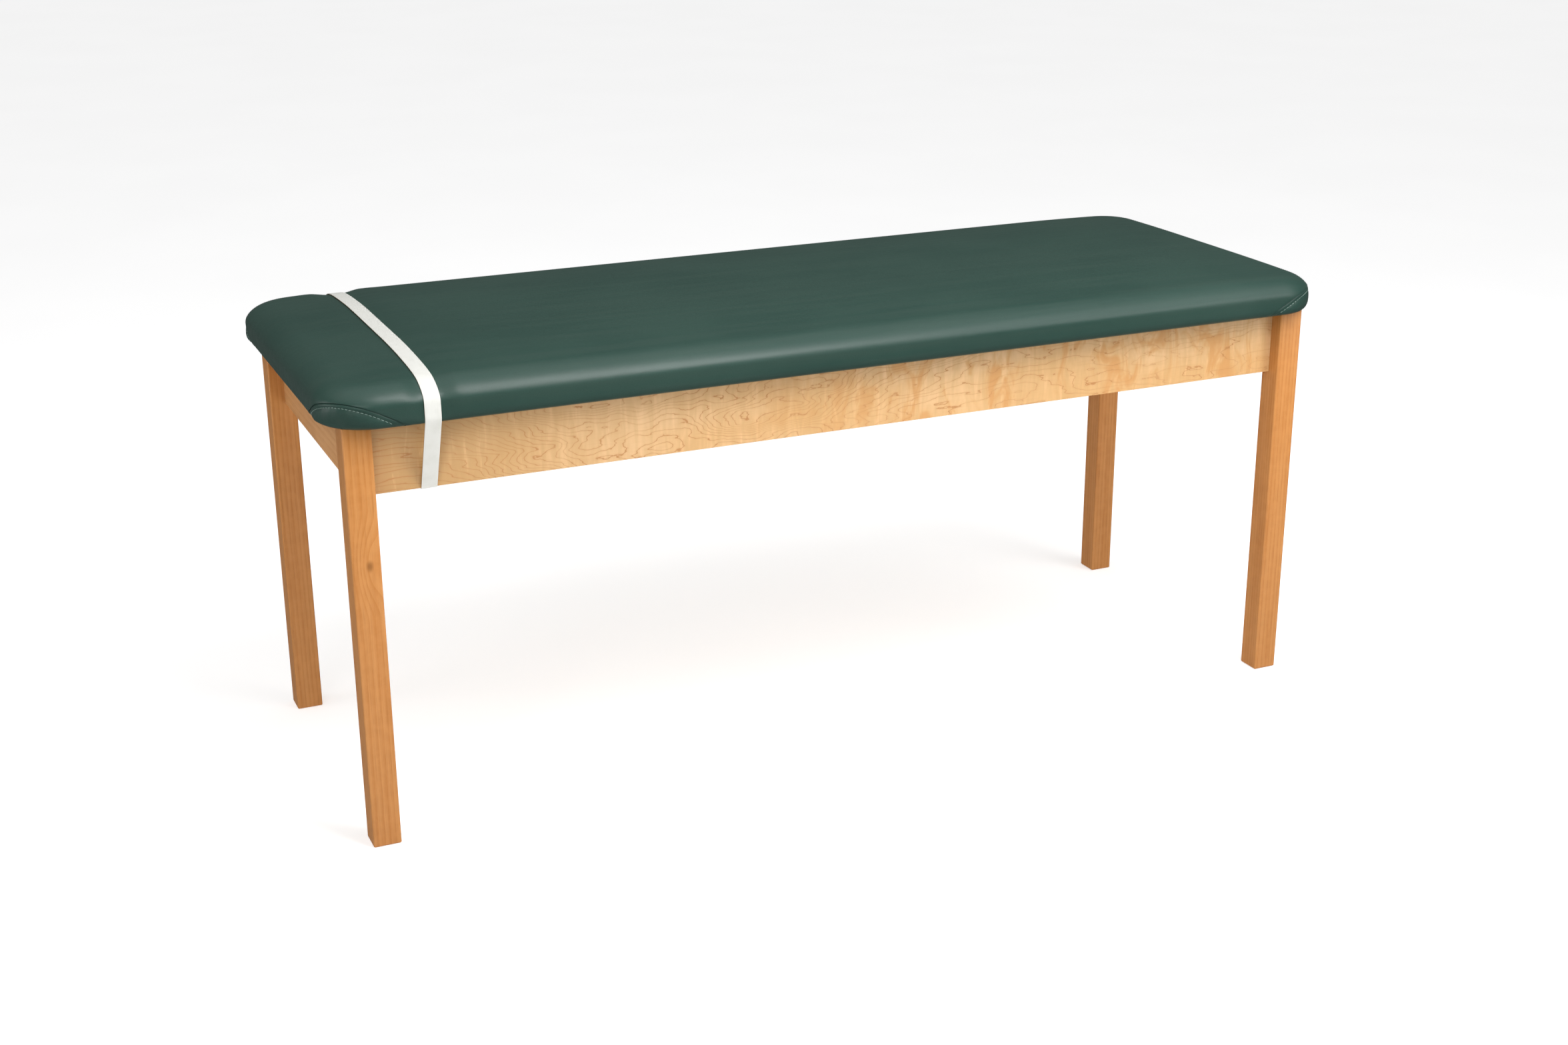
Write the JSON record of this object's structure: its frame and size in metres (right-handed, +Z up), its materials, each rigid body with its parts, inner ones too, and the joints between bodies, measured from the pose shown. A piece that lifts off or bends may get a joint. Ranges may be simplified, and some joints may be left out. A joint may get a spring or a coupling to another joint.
{
  "type": "examination couch",
  "caption": "Fixed-height wooden examination couch with a vinyl-covered flat pad, square legs, rails and a paper strap near the head end.",
  "frame": {"origin": "on the floor under the middle of the couch", "axes": "+X along the length towards the foot end, +Y across towards the rear side, +Z up; the paper strap is near the head end at -X"},
  "size_m": [1.831, 0.7016, 0.7872],
  "materials": {
    "green_vinyl": "satin",
    "thread": "matte",
    "foam": "matte",
    "plywood": "matte",
    "rail_veneer": "satin lacquer",
    "end_rail_wood": "satin lacquer",
    "inner_wood": "matte",
    "leg_wood": "satin lacquer",
    "white_vinyl": "satin",
    "zinc_steel": "satin zinc plate"
  },
  "bodies": {
    "root": {"vinyl_cover": "green_vinyl", "corner_panel_front_head": "green_vinyl", "corner_panel_front_foot": "green_vinyl", "corner_panel_rear_head": "green_vinyl", "corner_panel_rear_foot": "green_vinyl", "corner_topstitching": "thread", "foam_pad": "foam", "deck_board": "plywood", "cover_staples": "zinc_steel", "front_rail": "rail_veneer", "rear_rail": "rail_veneer", "head_rail": "end_rail_wood", "foot_rail": "end_rail_wood", "cross_rail_head": "inner_wood", "cross_rail_middle": "inner_wood", "cross_rail_foot": "inner_wood", "leg_front_head": "leg_wood", "leg_front_foot": "leg_wood", "leg_rear_head": "leg_wood", "leg_rear_foot": "leg_wood", "corner_bracket_front_head": "zinc_steel", "corner_bracket_front_foot": "zinc_steel", "corner_bracket_rear_head": "zinc_steel", "corner_bracket_rear_foot": "zinc_steel", "bracket_screws": "zinc_steel", "hanger_bolts": "zinc_steel", "bolt_washers": "zinc_steel", "bolt_nuts": "zinc_steel", "deck_clips": "zinc_steel", "deck_clip_screws": "zinc_steel", "cross_rail_angles": "zinc_steel", "cross_rail_screws": "zinc_steel", "paper_strap": "white_vinyl", "strap_washers": "zinc_steel", "strap_screws": "zinc_steel"}
  },
  "joints": []
}
